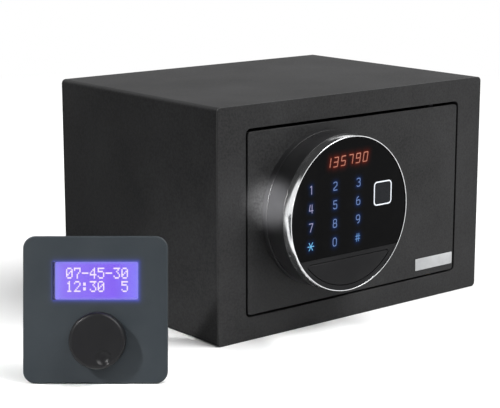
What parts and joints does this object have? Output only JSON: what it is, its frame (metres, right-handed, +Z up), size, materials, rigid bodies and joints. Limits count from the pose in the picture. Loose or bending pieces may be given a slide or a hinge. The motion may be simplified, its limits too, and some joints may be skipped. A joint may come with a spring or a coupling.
{
  "type": "timed lock container",
  "caption": "Small steel container with a turning round electronic lock head that throws its bolts, and a separate timer control with a display and a push-and-turn knob.",
  "frame": {"origin": "middle of the cabinet's underside, on the surface it stands on", "axes": "+Z up, the door faces -Y, +X to the right seen from the front"},
  "size_m": [0.4817, 0.2761, 0.2],
  "materials": {
    "cabinet_paint": "fine powder coat",
    "door_paint": "fine powder coat",
    "head_black": "satin",
    "bright_ring": "polished",
    "black_glass": "gloss",
    "clear_pane": "clear",
    "steel": "plain",
    "brass": "turned",
    "board": "solder mask",
    "display": "lit segments",
    "white_plastic": "matt",
    "black_plastic": "matt",
    "red_plastic": "satin",
    "copper": "enamelled winding",
    "cell_wrap": "printed sleeve",
    "timer_paint": "satin",
    "knob_black": "semi gloss",
    "label_silver": "satin",
    "lcd_glass": "backlit"
  },
  "bodies": {
    "cabinet": {"cabinet_wrap": "cabinet_paint", "front_frame": "cabinet_paint", "back_panel": "cabinet_paint", "hinge_bushes": "brass"},
    "door": {"door_plate": "door_paint", "hinge_lugs": "steel", "hinge_pins": "steel", "bolt_guides": "steel", "carriage_studs": "steel", "inner_cover": "door_paint", "cover_posts": "steel", "cover_screws": "steel", "solenoid_frame": "steel", "solenoid_coil": "copper", "control_board": "board", "board_posts": "brass", "reset_switch": "black_plastic", "link_socket": "black_plastic", "battery_box": "black_plastic", "batteries": "cell_wrap", "battery_contacts": "steel", "lock_base": "head_black", "base_screws": "steel", "spindle_bush": "brass", "label_plate": "label_silver"},
    "lock_head": {"head_drum": "head_black", "chrome_ring": "bright_ring", "face_carrier": "black_plastic", "touch_glass": "black_glass", "touch_board": "board", "led_display": "display", "sensor_frame": "white_plastic", "fingerprint_sensor": "black_glass", "key_lock_housing": "brass", "head_spindle": "steel", "spindle_screws": "steel", "drive_cam": "steel", "cam_pin": "steel", "spindle_clip": "steel"},
    "key_cover": {"key_cover": "black_plastic"},
    "key_cylinder": {"key_cylinder": "brass"},
    "bolt_work": {"bolt_carriage": "steel", "lock_bolts": "bright_ring"},
    "plunger": {"solenoid_plunger": "steel", "plunger_spring": "steel"},
    "reset_button": {"reset_button": "red_plastic"},
    "battery_cover": {"battery_cover": "black_plastic"},
    "timer": {"timer_front": "timer_paint", "timer_housing": "timer_paint", "timer_window": "clear_pane", "lcd_module": "lcd_glass", "timer_board": "board", "encoder_body": "black_plastic", "timer_socket": "black_plastic", "timer_screws": "steel"},
    "encoder_plunger": {"encoder_plunger": "white_plastic"},
    "timer_knob": {"timer_knob": "knob_black", "knob_shaft": "steel"}
  },
  "joints": [
    {"name": "door_hinge", "type": "hinge", "parent": "cabinet", "child": "door", "pos_m": [0.097, -0.106, 0], "axis": [0, 0, 1], "range_deg": [0, 110]},
    {"name": "head_turn", "type": "hinge", "parent": "door", "child": "lock_head", "pos_m": [-0.0413, -0.115, 0.1038], "axis": [0, -1, 0], "range_deg": [0, 90]},
    {"name": "bolt_throw", "type": "slide", "parent": "door", "child": "bolt_work", "axis": [-1, 0, 0], "range_m": [0, 0.01501]},
    {"name": "plunger_pull", "type": "slide", "parent": "door", "child": "plunger", "axis": [0, 0, 1], "range_m": [0, 0.004], "stiffness_N_per_m": 120, "springref_m": -0.002, "deforming": ["plunger_spring"]},
    {"name": "reset_press", "type": "slide", "parent": "door", "child": "reset_button", "axis": [0, -1, 0], "range_m": [0, 0.001], "stiffness_N_per_m": 600, "springref_m": -0.0005},
    {"name": "battery_cover_lift", "type": "slide", "parent": "door", "child": "battery_cover", "axis": [0, 1, 0], "range_m": [0, 0.04]},
    {"name": "key_cover_pull", "type": "slide", "parent": "lock_head", "child": "key_cover", "axis": [0, -1, 0], "range_m": [0, 0.025]},
    {"name": "key_turn", "type": "hinge", "parent": "lock_head", "child": "key_cylinder", "pos_m": [-0.0413, -0.14, 0.0543], "axis": [0, -1, 0], "range_deg": [0, 90]},
    {"name": "timer_lift", "type": "slide", "parent": "cabinet", "child": "timer", "axis": [0, 0, 1], "range_m": [0, 0.15]},
    {"name": "knob_push", "type": "slide", "parent": "timer", "child": "encoder_plunger", "axis": [0.6204, 0.7553, -0.2111], "range_m": [0, 0.0005], "stiffness_N_per_m": 2500, "springref_m": -0.0004},
    {"name": "knob_turn", "type": "hinge", "parent": "encoder_plunger", "child": "timer_knob", "pos_m": [-0.2789, -0.12359, 0.03377], "axis": [-0.6204, -0.7553, 0.2111], "continuous": true}
  ],
  "couplings": [
    {"joint": "bolt_throw", "follows": "head_turn", "m_per_rad": 0.0095493}
  ]
}
